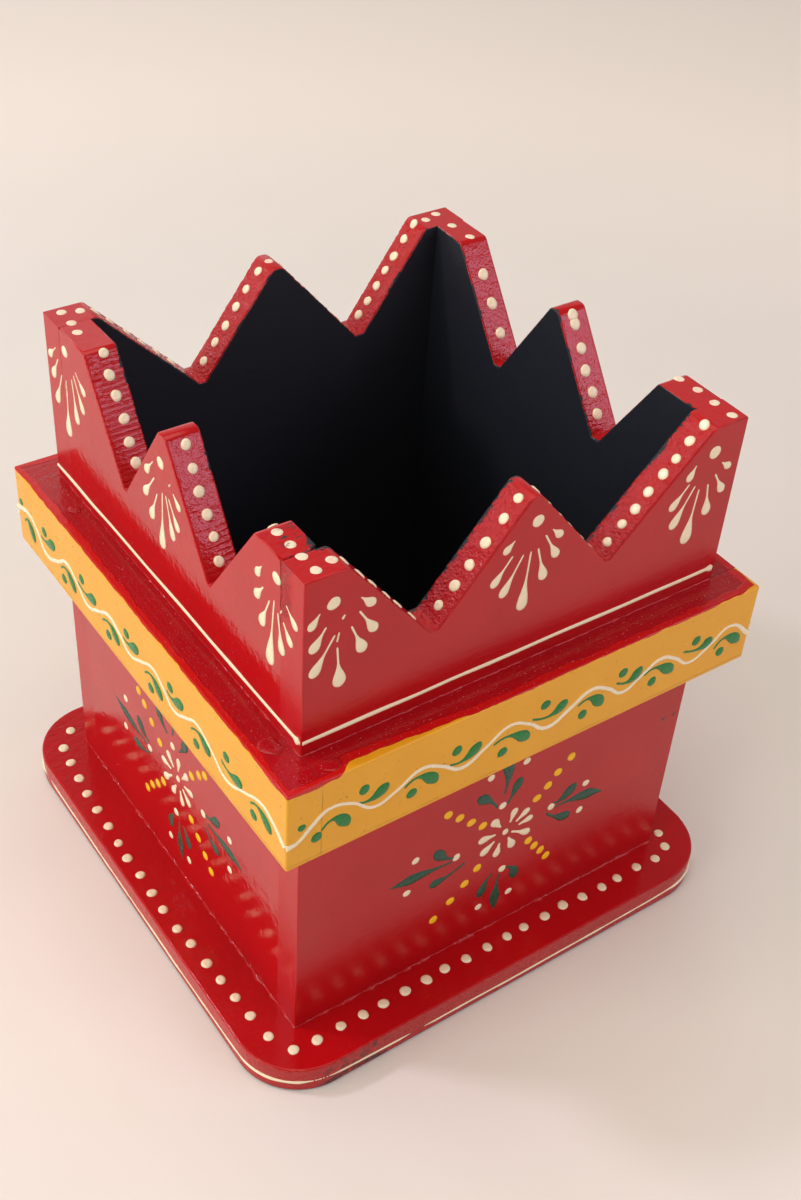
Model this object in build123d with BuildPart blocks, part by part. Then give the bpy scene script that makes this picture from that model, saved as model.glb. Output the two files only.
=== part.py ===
"""Tulsi vrindavan: a square wooden planter box on a wider foot board.

Four walls of thick board stand on the foot board. Their rims are sawn to a crown: a
half peak at each corner, a V notch, a middle peak and another V notch. The front and
back walls run the full width and cover the ends of the side walls. A raised band of
four strips goes round below the crown, each strip passing over the end of the next
one like a pinwheel. Brads hold the walls and the band, and countersunk screws hold
the front and back walls down on the foot board.

Millimetres, +Z up. The origin is the middle of the foot board's underside, and the
front wall faces -Y.
"""
import os
from typing import NamedTuple

from build123d import *

# Foot board
base_side = 203.0
base_thickness = 12.0
base_corner_radius = 24.5

# Box
box_width = 164.0  # along X, over the side walls
box_depth = 165.0  # along Y, over the front and back walls
wall_height = 200.0  # the full board, at the peaks
wall_thickness = 12.0

# Band
band_bottom = 102.0  # above the foot board
band_height = 32.5
band_thickness = 12.0

# Rounding of the edges that the hand meets
edge_easing = 0.8

# Brads: flat wire, with a wider head and a chisel point
brad_wire_width = 1.25
brad_wire_thickness = 1.05
brad_head_width = 2.1
brad_head_height = 0.9
brad_point = 2.5
brad_tip = 0.25
brad_set = 1.0  # the head lies this deep, under filler and paint
brad_end_grain_bite = 19.0  # how far a corner brad enters the side wall's end
brad_wall_cover = 3.0  # board left between a band brad's point and the inside
brad_clearance = 0.05
corner_brad_rows = (45.0, 88.0, 160.0)  # above the foot board, clear of the band
band_brad_inset = 30.0  # from the box's corner to the first brad of a strip

# Countersunk screws, driven up through the foot board
screw_diameter = 3.5
screw_head_diameter = 7.0
screw_head_height = 2.2
screw_tip_length = 5.0
screw_tip_diameter = 0.8
screw_set = 0.5  # the head lies this deep in the underside
screw_bite = 22.0  # how far a screw enters the wall
screw_inset = 38.0  # from the box's corner to the screw
screw_clearance = 0.1


class Notch(NamedTuple):
    """A V notch, sawn through a wall's rim."""

    middle: float  # from the wall's middle line, to the right
    floor: float  # width of the flat at the bottom
    depth: float  # below the peaks


class Crown(NamedTuple):
    """One wall's rim, seen from outside. The saw wandered, so no two walls are alike."""

    left_tower: float  # flat top of the half peak at the left end
    left_notch: Notch
    peak_middle: float
    peak_flat: float
    right_notch: Notch
    right_tower: float


front_crown = Crown(14.3, Notch(-36.3, 3.3, 36.8), -2.4, 2.8, Notch(30.6, 1.4, 37.4), 13.6)
right_crown = Crown(17.2, Notch(-28.5, 3.4, 36.4), 0.7, 4.0, Notch(27.8, 2.8, 37.2), 14.7)
back_crown = Crown(17.1, Notch(-37.5, 3.4, 36.8), -1.6, 4.0, Notch(29.4, 2.6, 37.2), 14.3)
left_crown = Crown(18.4, Notch(-27.4, 1.2, 38.3), 0.8, 4.2, Notch(28.2, 1.2, 39.0), 14.7)

side_wall_length = box_depth - 2 * wall_thickness
wall_middle = wall_thickness / 2


def outer_face(across, out, distance):
    """The plane of one wall's outside: local x runs right, y up and z out of the box."""
    return Plane(
        origin=Vector(*out) * distance + Vector(0, 0, base_thickness),
        x_dir=across,
        z_dir=out,
    )


front_face = outer_face((1, 0, 0), (0, -1, 0), box_depth / 2)
right_face = outer_face((0, 1, 0), (1, 0, 0), box_width / 2)
back_face = outer_face((-1, 0, 0), (0, 1, 0), box_depth / 2)
left_face = outer_face((0, -1, 0), (-1, 0, 0), box_width / 2)


# ---------------------------------------------------------------- fasteners


def make_brad(length, clearance=0.0):
    """A brad along +Z with its head at the origin, or with a clearance, the slot it sits in."""
    wire = (brad_wire_width + 2 * clearance, brad_wire_thickness + 2 * clearance)
    shank = length - brad_head_height - brad_point
    with BuildPart() as brad:
        with BuildSketch():
            Rectangle(brad_head_width + 2 * clearance, wire[1])
        extrude(amount=brad_head_height + clearance)
        with BuildSketch(Plane.XY.offset(brad_head_height)):
            Rectangle(*wire)
        extrude(amount=shank)
        with BuildSketch(Plane.XY.offset(brad_head_height + shank)):
            Rectangle(*wire)
        with BuildSketch(Plane.XY.offset(length + clearance)):
            Rectangle(brad_tip + 2 * clearance, wire[1])
        loft()
    return brad.part


def make_screw(clearance=0.0):
    """A countersunk wood screw along +Z, head at the origin, or with a clearance, its hole."""
    shank_radius = screw_diameter / 2 + clearance
    head_radius = screw_head_diameter / 2 + clearance
    tip_radius = screw_tip_diameter / 2 + clearance
    length = base_thickness - screw_set + screw_bite
    with BuildPart() as screw:
        with BuildSketch(Plane.XZ):
            with BuildLine():
                Polyline(
                    (0, 0),
                    (head_radius, 0),
                    (shank_radius, screw_head_height),
                    (shank_radius, length - screw_tip_length),
                    (tip_radius, length + clearance),
                    (0, length + clearance),
                    close=True,
                )
            make_face()
        revolve(axis=Axis.Z)
        if clearance:
            with BuildSketch():
                Circle(head_radius)
            extrude(amount=-screw_set)
    return screw.part


def brad_seat(face, across, up):
    """Where a brad's head lies in a face, and the way it is driven: into the box."""
    head = face.from_local_coords((across, up, -brad_set))
    return Plane(origin=head, x_dir=face.x_dir, z_dir=-face.z_dir)


def place(fastener, seats, mode=Mode.ADD):
    """Put a fastener, or cut its hole, at every seat."""
    for seat in seats:
        add(fastener.moved(seat.location), mode=mode)


corner_brad_length = wall_thickness - brad_set + brad_end_grain_bite
corner_brad = make_brad(corner_brad_length)
corner_brad_slot = make_brad(corner_brad_length, brad_clearance)

band_brad_length = band_thickness - brad_set + wall_thickness - brad_wall_cover
band_brad = make_brad(band_brad_length)
band_brad_slot = make_brad(band_brad_length, brad_clearance)

screw = make_screw()
screw_hole = make_screw(screw_clearance)


def corner_brad_seats(face):
    """A row up each end of a full-width wall, over the middle of the side wall's end."""
    reach = box_width / 2 - wall_middle
    return [brad_seat(face, side * reach, row) for side in (-1, 1) for row in corner_brad_rows]


def band_brad_seats(face, side_length):
    """Three brads into the wall, and one into the end of the strip round the corner."""
    outside = face.offset(band_thickness)
    reach = side_length / 2 - band_brad_inset
    places = (-reach, 0, reach, side_length / 2 + band_thickness / 2)
    return [brad_seat(outside, across, band_bottom + band_height / 2) for across in places]


front_corner_seats = corner_brad_seats(front_face)
back_corner_seats = corner_brad_seats(back_face)
front_band_seats = band_brad_seats(front_face, box_width)
right_band_seats = band_brad_seats(right_face, box_depth)
back_band_seats = band_brad_seats(back_face, box_width)
left_band_seats = band_brad_seats(left_face, box_depth)

screw_x = box_width / 2 - screw_inset
screw_y = box_depth / 2 - wall_middle
screw_seats = [Plane(origin=(x, y, screw_set)) for x in (-screw_x, screw_x) for y in (-screw_y, screw_y)]


# --------------------------------------------------------------- foot board

with BuildPart() as base_board:
    with BuildSketch():
        RectangleRounded(base_side, base_side, base_corner_radius)
    extrude(amount=base_thickness)
    fillet(base_board.faces().sort_by(Axis.Z)[-1].edges(), edge_easing)
    chamfer(base_board.faces().sort_by(Axis.Z)[0].edges(), edge_easing)
    place(screw_hole, screw_seats, Mode.SUBTRACT)


# -------------------------------------------------------------------- walls


def notch_corners(notch, foot_left, foot_right):
    """The two corners of a notch's floor, with the rim's corners on either side."""
    floor_height = wall_height - notch.depth
    return (
        (foot_left, wall_height),
        (notch.middle - notch.floor / 2, floor_height),
        (notch.middle + notch.floor / 2, floor_height),
        (foot_right, wall_height),
    )


def crowned_board(length, crown):
    """The outline of a wall: a plain board with two notches taken out of its top edge."""
    peak_left = crown.peak_middle - crown.peak_flat / 2
    peak_right = crown.peak_middle + crown.peak_flat / 2
    left = notch_corners(crown.left_notch, crown.left_tower - length / 2, peak_left)
    right = notch_corners(crown.right_notch, peak_right, length / 2 - crown.right_tower)
    Rectangle(length, wall_height, align=(Align.CENTER, Align.MIN))
    for corners in (left, right):
        Polygon(*corners, align=None, mode=Mode.SUBTRACT)


def ease_upright_corners(wall, face):
    """Round the two upright outside edges of a full-width wall."""
    outside = wall.faces().sort_by(Axis(face.origin, face.z_dir))[-1]
    fillet(outside.edges().filter_by(Axis.Z), edge_easing)


with BuildPart() as front_wall:
    with BuildSketch(front_face):
        crowned_board(box_width, front_crown)
    extrude(amount=-wall_thickness)
    ease_upright_corners(front_wall, front_face)
    place(corner_brad_slot, front_corner_seats, Mode.SUBTRACT)
    place(band_brad_slot, front_band_seats, Mode.SUBTRACT)
    place(screw_hole, screw_seats, Mode.SUBTRACT)

with BuildPart() as back_wall:
    with BuildSketch(back_face):
        crowned_board(box_width, back_crown)
    extrude(amount=-wall_thickness)
    ease_upright_corners(back_wall, back_face)
    place(corner_brad_slot, back_corner_seats, Mode.SUBTRACT)
    place(band_brad_slot, back_band_seats, Mode.SUBTRACT)
    place(screw_hole, screw_seats, Mode.SUBTRACT)

with BuildPart() as left_wall:
    with BuildSketch(left_face):
        crowned_board(side_wall_length, left_crown)
    extrude(amount=-wall_thickness)
    place(corner_brad_slot, front_corner_seats + back_corner_seats, Mode.SUBTRACT)
    place(band_brad_slot, left_band_seats, Mode.SUBTRACT)

with BuildPart() as right_wall:
    with BuildSketch(right_face):
        crowned_board(side_wall_length, right_crown)
    extrude(amount=-wall_thickness)
    place(corner_brad_slot, front_corner_seats + back_corner_seats, Mode.SUBTRACT)
    place(band_brad_slot, right_band_seats, Mode.SUBTRACT)


# --------------------------------------------------------------------- band


def strip_outline(side_length):
    """A strip flush with one corner of the box, running on over the next strip's end."""
    with Locations((band_thickness / 2, band_bottom)):
        Rectangle(side_length + band_thickness, band_height, align=(Align.CENTER, Align.MIN))


def ease_strip(strip, face):
    """Round a strip's outside edges, but not the two where it meets its neighbours."""
    along = Axis(face.origin, face.x_dir)
    outward = Axis(face.origin, face.z_dir)
    front_edges = strip.faces().sort_by(outward)[-1].edges().sort_by(along)[1:]
    end_edges = strip.faces().sort_by(along)[-1].edges().sort_by(outward)[1:-1]
    fillet(front_edges + end_edges, edge_easing)


with BuildPart() as front_band:
    with BuildSketch(front_face):
        strip_outline(box_width)
    extrude(amount=band_thickness)
    ease_strip(front_band, front_face)
    place(band_brad_slot, front_band_seats + left_band_seats, Mode.SUBTRACT)

with BuildPart() as right_band:
    with BuildSketch(right_face):
        strip_outline(box_depth)
    extrude(amount=band_thickness)
    ease_strip(right_band, right_face)
    place(band_brad_slot, right_band_seats + front_band_seats, Mode.SUBTRACT)

with BuildPart() as back_band:
    with BuildSketch(back_face):
        strip_outline(box_width)
    extrude(amount=band_thickness)
    ease_strip(back_band, back_face)
    place(band_brad_slot, back_band_seats + right_band_seats, Mode.SUBTRACT)

with BuildPart() as left_band:
    with BuildSketch(left_face):
        strip_outline(box_depth)
    extrude(amount=band_thickness)
    ease_strip(left_band, left_face)
    place(band_brad_slot, left_band_seats + back_band_seats, Mode.SUBTRACT)


# -------------------------------------------------------- fasteners in place

with BuildPart() as front_corner_brads:
    place(corner_brad, front_corner_seats)

with BuildPart() as back_corner_brads:
    place(corner_brad, back_corner_seats)

with BuildPart() as front_band_brads:
    place(band_brad, front_band_seats)

with BuildPart() as right_band_brads:
    place(band_brad, right_band_seats)

with BuildPart() as back_band_brads:
    place(band_brad, back_band_seats)

with BuildPart() as left_band_brads:
    place(band_brad, left_band_seats)

with BuildPart() as base_screws:
    place(screw, screw_seats)


# ------------------------------------------------------------------- export

pieces = {
    "base_board": base_board,
    "front_wall": front_wall,
    "right_wall": right_wall,
    "back_wall": back_wall,
    "left_wall": left_wall,
    "front_band": front_band,
    "right_band": right_band,
    "back_band": back_band,
    "left_band": left_band,
    "front_corner_brads": front_corner_brads,
    "back_corner_brads": back_corner_brads,
    "front_band_brads": front_band_brads,
    "right_band_brads": right_band_brads,
    "back_band_brads": back_band_brads,
    "left_band_brads": left_band_brads,
    "base_screws": base_screws,
}

os.makedirs("parts", exist_ok=True)
for name, piece in pieces.items():
    piece.part.label = name
    export_step(piece.part, f"parts/{name}.step")
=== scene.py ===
"""Tulsi vrindavan: the painted finish of a wooden planter, and its raised cone-paint ornament.

The sawn walls are made again with worn arrises and saw marks. Everything painted on them
is a low raised shape: dots, drops with thin tails, leaves and drawn lines. Sizes are in
millimetres on the outside of one wall: u runs right, v up from the foot board's top and
out from the face.
"""
import math
import random
from typing import NamedTuple

import bmesh
import bpy
from mathutils import Matrix, Vector, noise


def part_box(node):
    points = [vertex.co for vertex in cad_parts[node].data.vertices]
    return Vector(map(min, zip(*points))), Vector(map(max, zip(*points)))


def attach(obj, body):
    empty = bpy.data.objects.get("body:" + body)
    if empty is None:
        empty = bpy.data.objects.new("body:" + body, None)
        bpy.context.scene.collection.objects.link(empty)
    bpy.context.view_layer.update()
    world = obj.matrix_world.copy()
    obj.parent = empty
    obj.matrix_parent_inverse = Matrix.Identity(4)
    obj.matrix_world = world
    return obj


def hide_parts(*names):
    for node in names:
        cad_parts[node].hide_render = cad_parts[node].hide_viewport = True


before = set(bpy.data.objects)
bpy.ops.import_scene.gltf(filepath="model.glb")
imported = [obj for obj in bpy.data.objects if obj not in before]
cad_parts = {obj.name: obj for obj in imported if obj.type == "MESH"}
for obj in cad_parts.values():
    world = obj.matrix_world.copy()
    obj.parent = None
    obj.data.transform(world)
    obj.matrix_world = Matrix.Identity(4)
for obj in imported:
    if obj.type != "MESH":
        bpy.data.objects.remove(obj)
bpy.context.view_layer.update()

MM = 0.001


# ---- the frame


def low(node):
    return Vector(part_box(node)[0]) / MM


def high(node):
    return Vector(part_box(node)[1]) / MM


foot_top = high("base_board").z
foot_half = high("base_board").x
box_half, band_half = (
    {"front": -low(f"front_{kind}").y, "right": high(f"right_{kind}").x,
     "back": high(f"back_{kind}").y, "left": -low(f"left_{kind}").x} for kind in ("wall", "band"))
half_x, half_y = box_half["left"], box_half["front"]
wall_height = high("front_wall").z - foot_top
rim_z = foot_top + wall_height
wall_thickness = high("front_wall").y - low("front_wall").y
band_top = high("front_band").z - foot_top
band_height = high("front_band").z - low("front_band").z
full_width = ("front", "back")  # the walls that cover the side walls' ends
joint_y = half_y - wall_thickness  # and where those ends stand
box_reach = {"front": half_x, "right": half_y, "back": half_x, "left": half_y}  # half the box
half_length = {"front": half_x, "right": joint_y, "back": half_x, "left": joint_y}  # half a wall

across = {"front": (1, 0, 0), "right": (0, 1, 0), "back": (-1, 0, 0), "left": (0, -1, 0)}
outward = {"front": (0, -1, 0), "right": (1, 0, 0), "back": (0, 1, 0), "left": (-1, 0, 0)}


def face_plane(side, distance):
    """From u, v and out, in millimetres, to the world in metres."""
    x, z = Vector(across[side]), Vector(outward[side])
    turn = Matrix((x, Vector((0, 0, 1)), z)).transposed().to_4x4()
    place = Matrix.Translation(z * distance + Vector((0, 0, foot_top)))
    return Matrix.Scale(MM, 4) @ place @ turn


def level_plane(height):
    """From x, y and up over one height, in millimetres, to the world in metres."""
    return Matrix.Scale(MM, 4) @ Matrix.Translation((0, 0, height))


# ---- materials


def colour(hex_code):
    """An sRGB hex colour as linear RGBA."""
    parts = [int(hex_code[i:i + 2], 16) / 255 for i in (1, 3, 5)]
    return [p / 12.92 if p < 0.04045 else ((p + 0.055) / 1.055) ** 2.4 for p in parts] + [1.0]


# Kinds of node, each with the settings that it has here. From their first limit to their second,
# STEP and RAMP go from 0 to 1, or between two values that are given after the limits.
PLUS, MINUS, TIMES, OVER, TIMES_PLUS, ABSOLUTE, SMALLER, LARGER, ROOT = (
    ("Math", {"operation": operation}) for operation in (
        "ADD", "SUBTRACT", "MULTIPLY", "DIVIDE", "MULTIPLY_ADD", "ABSOLUTE", "MINIMUM", "MAXIMUM", "SQRT"))
SCALED, LENGTH, TOWARD = (
    ("VectorMath", {"operation": operation}) for operation in ("MULTIPLY", "LENGTH", "DOT_PRODUCT"))
STEP = ("MapRange", {"interpolation_type": "SMOOTHSTEP"})
RAMP = ("MapRange", {"interpolation_type": "LINEAR"})
MIX = ("Mix", {"data_type": "RGBA"})
PLACES = ("TexCoord", {})
SPLIT = ("SeparateXYZ", {})
NOISE = ("TexNoise", {})
BUMP = ("Bump", {})


class Recipe:
    """The nodes that lead up to a shader, added one after another."""

    def __init__(self, owner, shader, **constants):
        owner.use_nodes = True
        self.tree = owner.node_tree
        self.shader = self.tree.nodes[shader]
        for socket, value in constants.items():
            self.shader.inputs[socket].default_value = value

    def add(self, kind, *inputs, output="", **named):
        """Add a node with its settings. Its sockets get links or constants, in order or by
        name. Gives its first output in use, or the one with a name."""
        name, settings = kind
        node = self.tree.nodes.new(f"ShaderNode{name}")
        for setting, value in settings.items():
            setattr(node, setting, value)
        in_use = [socket for socket in node.inputs if socket.enabled]
        by_name = [(node.inputs[socket], value) for socket, value in named.items()]
        for socket, value in [*zip(in_use, inputs), *by_name]:
            if isinstance(value, bpy.types.NodeSocket):
                self.tree.links.new(value, socket)
            else:
                socket.default_value = value
        return next(socket for socket in node.outputs if socket.enabled and output in ("", socket.name))


class Surface(Recipe):
    """A material's recipe, with its places and sizes in millimetres."""

    def __init__(self, name, **constants):
        self.material = bpy.data.materials.new(name)
        super().__init__(self.material, "Principled BSDF", **constants)
        self.place = self.add(PLACES, output="Object")

    def axis(self, letter):
        """One coordinate, in millimetres."""
        return self.add(OVER, self.add(SPLIT, self.place, output=letter), MM)

    def noise(self, size_mm, detail=2.0, stretch=(1, 1, 1), rough=0.5):
        """Noise whose lumps are about size_mm across, drawn out along the axes by stretch."""
        scale = [1 / (size_mm * MM * s) for s in stretch]
        return self.add(NOISE, self.add(SCALED, self.place, scale), 1.0, detail, rough)

    def cloudy(self, size_mm, detail, dark, light):
        """A colour that drifts between two over patches of about size_mm."""
        return self.add(MIX, self.noise(size_mm, detail), colour(dark), colour(light))

    def stain(self, paint, mask, strength, hex_code):
        """Paint with another colour over it where the mask is 1, as strong as given."""
        return self.add(MIX, self.add(TIMES, mask, strength), paint, colour(hex_code))

    def done(self, paint, rough, layers):
        """Feed the shader, with layers of relief laid over each other, each with its depth in mm."""
        under = {}
        for height, depth_mm in layers:
            under = {"Normal": self.add(BUMP, Height=height, Distance=depth_mm * MM, **under)}
        for socket, value in {"Base Color": paint, "Roughness": rough, **under}.items():
            self.tree.links.new(value, self.shader.inputs[socket])
        return self.material


smear_x, smear_y = -71.0, -64.0  # the middle of the smear, on the front left tower
worn_x = -69.0  # the middle of the most worn stretch of the foot board's front edge


def inside_mask(r):
    """1 on the inner faces, and over their arrises as far as the black ran. It ran out in
    hairs on the front wall."""
    reach_x = r.add(MINUS, r.add(ABSOLUTE, r.axis("X")), half_x - wall_thickness)
    reach_y = r.add(MINUS, r.add(ABSOLUTE, r.axis("Y")), joint_y)
    out = r.add(LARGER, reach_x, reach_y)
    ragged = r.add(TIMES_PLUS, r.noise(2.4, detail=4), 3.0, -1.45)
    ragged = r.add(PLUS, ragged, r.add(TIMES_PLUS, r.noise(15.0), 5.0, -2.45))
    behind_front = r.add(STEP, r.axis("Y"), 15 - half_y, 17 - half_y)
    hairs = r.add(TIMES_PLUS, r.noise(1.2, detail=3), 3.4, -0.8)
    ragged = r.add(PLUS, ragged, r.add(TIMES, r.add(MINUS, 1.0, behind_front), hairs))
    above_foot = r.add(STEP, r.axis("Z"), foot_top - 1.0, foot_top - 0.5)
    black = r.add(STEP, r.add(MINUS, r.add(LARGER, ragged, 0.12), out), -0.06, 0.06)
    return r.add(TIMES, black, above_foot)


def smear_mask(r):
    """1 where the black brush touched the top of the front left tower."""
    away_x = r.add(PLUS, r.axis("X"), -smear_x)
    away_y = r.add(PLUS, r.axis("Y"), -smear_y)
    squares = r.add(PLUS, r.add(TIMES, away_x, away_x), r.add(TIMES, away_y, away_y))
    near = r.add(STEP, r.add(ROOT, squares), 9.0, 5.0)
    on_top = r.add(STEP, r.axis("Z"), rim_z - 3, rim_z - 1)
    hairs = r.add(STEP, r.noise(1.5, detail=4, stretch=(3, 1, 3)), 0.55, 0.6)
    return r.add(TIMES, r.add(TIMES, near, on_top), hairs)


def end_grain_mask(r):
    """1 on the front wall's ends near the top, where the bare end grain drank the paint."""
    at_end = r.add(STEP, r.add(ABSOLUTE, r.axis("X")), half_x - 0.3, half_x - 0.1)
    at_end = r.add(TIMES, at_end, r.add(STEP, r.axis("Y"), 1.0, -1.0))
    high_up = r.add(STEP, r.axis("Z"), rim_z - 27, rim_z - 8)
    from_joint = r.add(MINUS, r.add(ABSOLUTE, r.axis("Y")), joint_y)
    beside_joint = r.add(STEP, from_joint, 9.0, 1.0)
    patchy = r.add(TIMES, r.add(TIMES, r.noise(6.0, detail=3), high_up), beside_joint)
    return r.add(TIMES, at_end, r.add(STEP, patchy, 0.12, 0.32))


def sawn_mask(r):
    """1 on the rim's sawn slopes, between the walls' inner and outer sides, and 0 on its tops."""
    from_side = r.add(MINUS, half_x - 0.3, r.add(ABSOLUTE, r.axis("X")))
    from_front = r.add(MINUS, half_y - 0.3, r.add(ABSOLUTE, r.axis("Y")))
    from_out = r.add(SMALLER, from_side, from_front)
    from_inside = r.add(MINUS, wall_thickness - 0.6, from_out)
    within = r.add(STEP, r.add(SMALLER, from_out, from_inside), 0.0, 0.4)
    return r.add(TIMES, within, r.add(STEP, r.axis("Z"), rim_z - 0.3, rim_z - 1.5))


def crack_shade_mask(r):
    """1 in the open joint of the front left tower and a ragged little way beside it, where painted shade
    darkens the crack.
    """
    from_joint = r.add(ABSOLUTE, r.add(PLUS, r.axis("Y"), joint_y))
    width = r.add(TIMES_PLUS, r.noise(1.6, detail=3), 1.5, -0.45)
    in_line = r.add(STEP, r.add(MINUS, width, from_joint), -0.05, 0.1)
    at_tower = r.add(STEP, r.axis("X"), 15 - half_x, 13 - half_x)
    high_up = r.add(STEP, r.axis("Z"), rim_z - 28, rim_z - 20)
    return r.add(TIMES, r.add(TIMES, in_line, at_tower), high_up)


enamel_ior = 1.43


def lay_red(r, grain, wettest, ridges):
    """Brushed gloss enamel on softwood: deep red, with a wet shine, the grain drawn through
    it in short low ridges as high as given in mm, orange peel and a little dust that dried in
    it, in specks coarse enough to show. The inside is black with less shine. Gives the colour,
    the roughness and the layers of relief. The least roughness is wettest."""
    inside = r.add(LARGER, inside_mask(r), smear_mask(r))
    paint = r.add(MIX, inside, r.cloudy(28.0, 3, "#A60A10", "#BD0D12"), colour("#20232A"))
    dust = r.add(STEP, r.noise(0.9, detail=1), 0.75, 0.8)
    dust = r.add(TIMES, dust, r.add(MINUS, 1.0, inside))
    paint = r.stain(paint, dust, 0.2, "#B8404A")
    rough_outside = r.add(TIMES_PLUS, r.noise(9.0, detail=4), 0.1, wettest)
    rough = r.add(PLUS, rough_outside, r.add(TIMES, inside, 0.34))
    drawn_through = r.noise(0.9, detail=3, stretch=grain)
    peel = r.noise(3.2, detail=1)
    return paint, rough, [(drawn_through, ridges), (peel, 0.09), (dust, 0.06)]


def wall_enamel(name, grain, wettest, pebbles, bare_ends=False):
    """The walls' enamel: over a sawn slope it dries in pebbles, as deep as given in mm. A
    full-width wall shines more there, and shows torn and pitted end grain beside its joints."""
    r = Surface(name, IOR=enamel_ior)
    paint, rough, layers = lay_red(r, grain, wettest, ridges=0.045)
    sawn = sawn_mask(r)
    layers.append((r.add(TIMES, r.noise(0.9, detail=2), sawn), pebbles))
    # Painted shade: the open crack and its edges are darkened to near black.
    paint = r.stain(paint, crack_shade_mask(r), 0.85, "#2C0306")
    if bare_ends:
        torn = end_grain_mask(r)
        pits = r.add(TIMES, r.add(STEP, r.noise(0.8, detail=1), 0.44, 0.56), torn)
        paint = r.stain(r.stain(paint, torn, 0.6, "#A80418"), pits, 0.45, "#7C0210")
        rough = r.add(TIMES_PLUS, sawn, -0.17, rough)
        layers.append((r.add(TIMES, r.noise(0.8, detail=1), torn), 0.5))
    return r.done(paint, rough, layers)


def grime_and_shadow_mask(r, edge):
    """How dark the foot board's edge is painted: grime low down where it was slid about, rubbed through
    beside the front left corner, and a painted contact shadow along its bottom all round."""
    near_corner = r.add(STEP, r.add(ABSOLUTE, r.add(PLUS, r.axis("X"), -worn_x)), 19.0, 7.0)
    near_corner = r.add(TIMES, near_corner, r.add(STEP, r.axis("Y"), 0.0, -10.0))
    reach = r.add(TIMES_PLUS, near_corner, 3.4, 0.7)
    low_down = r.add(STEP, r.add(MINUS, reach, r.axis("Z")), 0.0, 1.0)
    grime_and_shadow = r.add(TIMES, low_down, r.add(STEP, r.noise(1.7, detail=4), 0.38, 0.52))
    scuffs = r.add(STEP, r.noise(2.4, detail=5, rough=0.7), 0.46, 0.6)
    rubbed = r.add(TIMES, r.add(TIMES, near_corner, scuffs), edge)
    grime_and_shadow = r.add(LARGER, grime_and_shadow, r.add(TIMES, rubbed, 0.8))
    # Painted contact shadow: a dark line along the board's bottom arris, all round.
    contact_shadow = r.add(STEP, r.axis("Z"), 1.3, 0.6)
    grime_and_shadow = r.add(LARGER, grime_and_shadow, r.add(TIMES, contact_shadow, 0.9))
    return r.add(TIMES, grime_and_shadow, r.add(STEP, r.axis("Z"), 0.01, 0.05))


def foot_enamel(grain):
    """The foot board's enamel: glossy with dust on top, duller and pebbled over the sawn edge,
    grimed low down, and darkened along its bottom by a painted contact shadow."""
    r = Surface("red_gloss_enamel_foot_board", IOR=enamel_ior)
    paint, rough, layers = lay_red(r, grain, wettest=0.05, ridges=0.085)
    edge = r.add(STEP, r.axis("Z"), foot_top - 0.2, foot_top - 1.0)
    # One dark colour for the grime and for the painted contact shadow along the bottom.
    paint = r.stain(paint, grime_and_shadow_mask(r, edge), 0.85, "#220709")
    worn = r.add(STEP, r.axis("Z"), foot_top - 0.02, foot_top - 0.4)
    rough = r.add(TIMES_PLUS, worn, 0.17, rough)
    pebbled = r.add(LARGER, r.add(STEP, r.axis("X"), -99.0, -90.0), 0.3)
    pebbled = r.add(TIMES, pebbled, r.add(STEP, r.axis("Z"), foot_top - 0.1, foot_top - 0.6))
    layers.append((r.add(TIMES, r.noise(0.9, detail=2), pebbled), 0.5))
    return r.done(paint, rough, layers)


along_x = (5, 1, 1)  # how far the grain stretches its ridges along each axis
upright = (1, 1, 6)
red_across = wall_enamel("red_gloss_enamel_grain_across", along_x, wettest=0.2, pebbles=0.8, bare_ends=True)
red_upright = wall_enamel("red_gloss_enamel_grain_upright", upright, wettest=0.04, pebbles=0.16)
red_foot = foot_enamel(along_x)
wall_paint = {"front": red_across, "right": red_upright, "back": red_across, "left": red_upright}

neighbour = {"front": "right", "right": "back", "back": "left", "left": "front"}


def inward(r, side):
    """How far in from one outside of the band, in mm."""
    axis = r.axis("X" if outward[side][0] else "Y")
    return r.add(TIMES_PLUS, axis, -float(sum(outward[side])), band_half[side])


def overpaint(r, side):
    """How far the red reaches down from the top arris, in mm; less than 0 is yellow on top."""
    if side == "front":
        margin = r.add(RAMP, r.axis("X"), -72.0, -17.0, -3.3, 0.15)
        past_seam = r.add(STEP, r.axis("X"), -77.0, -70.0)
        spill = r.add(MINUS, 1.0, past_seam)
        patch = r.add(TIMES, r.add(STEP, r.axis("X"), 84.0, 90.0), -1.2)
        return r.add(PLUS, patch, r.add(TIMES_PLUS, past_seam, margin, spill))
    if side == "left":
        near_corner = r.add(STEP, r.axis("Y"), -78.0, -88.0)
        return r.add(TIMES_PLUS, near_corner, 0.8, 0.25)
    return 0.2


def seam_mask(r, side):
    """1 in the thin line where this strip starts against the last one, part filled with paint.
    The right strip's is the most open."""
    along = r.axis("X" if across[side][0] else "Y")
    from_start = r.add(TIMES_PLUS, along, float(sum(across[side])), box_reach[side])
    filled = 0.1 if side == "right" else 0.36
    open_part = r.add(STEP, r.noise(3.0, detail=3), filled, filled + 0.14)
    return r.add(TIMES, r.add(STEP, r.add(ABSOLUTE, from_start), 0.34, 0.14), open_part)


def band_red(r, fresh, seam, side):
    """The red on the band's top: a dull older coat, with pale specks of dust and painted glints,
    and a fresher stripe.
    """
    red = r.add(MIX, fresh, r.cloudy(24.0, 4, "#990912", "#B00B14"), colour("#C2110F"))
    # Pale specks: dust, and painted glints.
    red = r.stain(red, r.add(STEP, r.noise(0.7, detail=1), 0.7, 0.75), 0.4, "#E09098")
    return r.stain(red, seam, 0.85 if side == "right" else 0.5, "#3A0508")


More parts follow.
